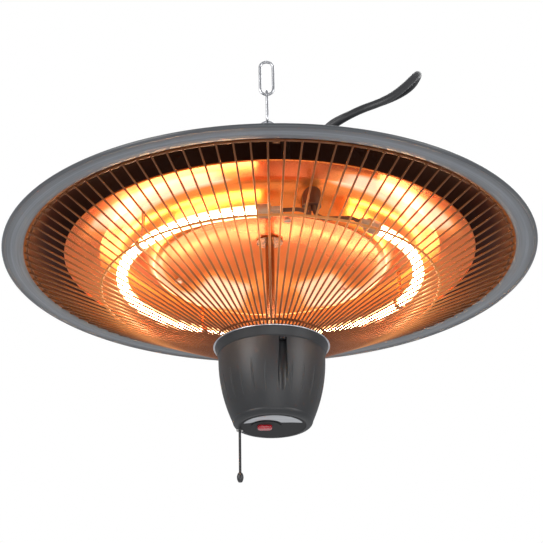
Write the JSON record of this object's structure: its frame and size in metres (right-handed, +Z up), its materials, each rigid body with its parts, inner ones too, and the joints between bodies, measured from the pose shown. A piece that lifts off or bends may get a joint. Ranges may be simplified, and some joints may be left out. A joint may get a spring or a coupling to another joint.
{
  "type": "hanging patio heater",
  "caption": "Hanging dish heater: chain and eye, spun dish, bright inner reflector, ring lamp behind a radial wire guard, lower control pot with pull string, and coiled mains cord with plug",
  "frame": {"origin": "inner seat of the upper chain link, where a ceiling hook carries the heater; the brim's underside lies 262.9 mm below it", "axes": "+Z is up along the heater's axis, -Y is the side that the picture looks from, +X is the side that the mains cord leaves towards"},
  "size_m": [0.6, 0.6, 0.5221],
  "materials": {
    "dish_paint": "smooth satin paint",
    "cap_paint": "smooth satin paint",
    "reflector": "polished, copper tinted",
    "guard_steel": "plated wire",
    "chain_steel": "bright plated",
    "fixing_steel": "zinc plated",
    "screw_dark": "blackened",
    "column_steel": "plated tube",
    "lamp_glass": "clear tube, lit",
    "filament": "glowing carbon strand",
    "ceramic": "glazed",
    "lead_sleeve": "woven sleeve",
    "pot_plastic": "satin moulded",
    "base_plastic": "fine matt grain",
    "lens_red": "clear red, domed",
    "board": "coated board",
    "switch_plastic": "moulded",
    "string": "braided",
    "knob": "smooth",
    "rubber": "satin sheath",
    "plug_rubber": "moulded",
    "plug_metal": "nickel plated",
    "tie": "strap"
  },
  "bodies": {
    "chain_top": {"upper_link": "chain_steel"},
    "chain_low": {"lower_link": "chain_steel"},
    "heater": {"hanging_eye": "chain_steel", "eye_nut": "fixing_steel", "eye_lock_nut": "fixing_steel", "outer_dish": "dish_paint", "top_cap": "cap_paint", "cord_gland": "pot_plastic", "cord_boot": "rubber", "inner_reflector": "reflector", "reflector_standoffs": "fixing_steel", "reflector_screws": "fixing_steel", "lead_bushing": "ceramic", "centre_column": "column_steel", "column_screws": "fixing_steel", "column_collar": "fixing_steel", "column_nut": "fixing_steel", "lamp_tube": "lamp_glass", "lamp_filament": "filament", "lamp_ends": "ceramic", "lamp_clips": "fixing_steel", "lamp_leads": "lead_sleeve", "terminal_block": "switch_plastic", "guard_wires": "guard_steel", "guard_outer_ring": "guard_steel", "guard_mid_ring": "guard_steel", "guard_hub_ring": "guard_steel", "guard_clips": "fixing_steel", "trim_ring": "chain_steel", "hub_plate": "fixing_steel", "housing_pot": "pot_plastic", "housing_screws": "screw_dark", "base_plate": "base_plastic", "indicator_lens": "lens_red", "control_board": "board", "switch_box": "switch_plastic", "string_eyelet": "fixing_steel", "mains_cord": "rubber", "mains_cord_coil": "rubber", "mains_cord_tail": "rubber", "plug_body": "plug_rubber", "plug_pins": "plug_metal", "cord_tie": "tie"},
    "pull": {"pull_plunger": "switch_plastic", "pull_spring": "fixing_steel", "pull_string": "string", "pull_knob": "knob"},
    "cam": {"ratchet_cam": "switch_plastic"}
  },
  "joints": [
    {"name": "link_swing", "type": "hinge", "parent": "chain_top", "child": "chain_low", "pos_m": [0, 0, -0.0437], "axis": [1, 0, 0], "range_deg": [-40, 40]},
    {"name": "heater_swing", "type": "hinge", "parent": "chain_low", "child": "heater", "pos_m": [0, 0, -0.08555], "axis": [0, 1, 0], "range_deg": [-40, 40]},
    {"name": "string_pull", "type": "slide", "parent": "heater", "child": "pull", "axis": [0, 0, -1], "range_m": [0, 0.012], "stiffness_N_per_m": 200, "springref_m": -0.004, "deforming": ["pull_spring"]},
    {"name": "cam_turn", "type": "hinge", "parent": "heater", "child": "cam", "pos_m": [-0.0319, 0.0066, -0.4227], "axis": [0, 1, 0], "range_deg": [0, 90]}
  ],
  "couplings": [
    {"joint": "cam_turn", "follows": "string_pull", "rad_per_m": 130.8}
  ]
}
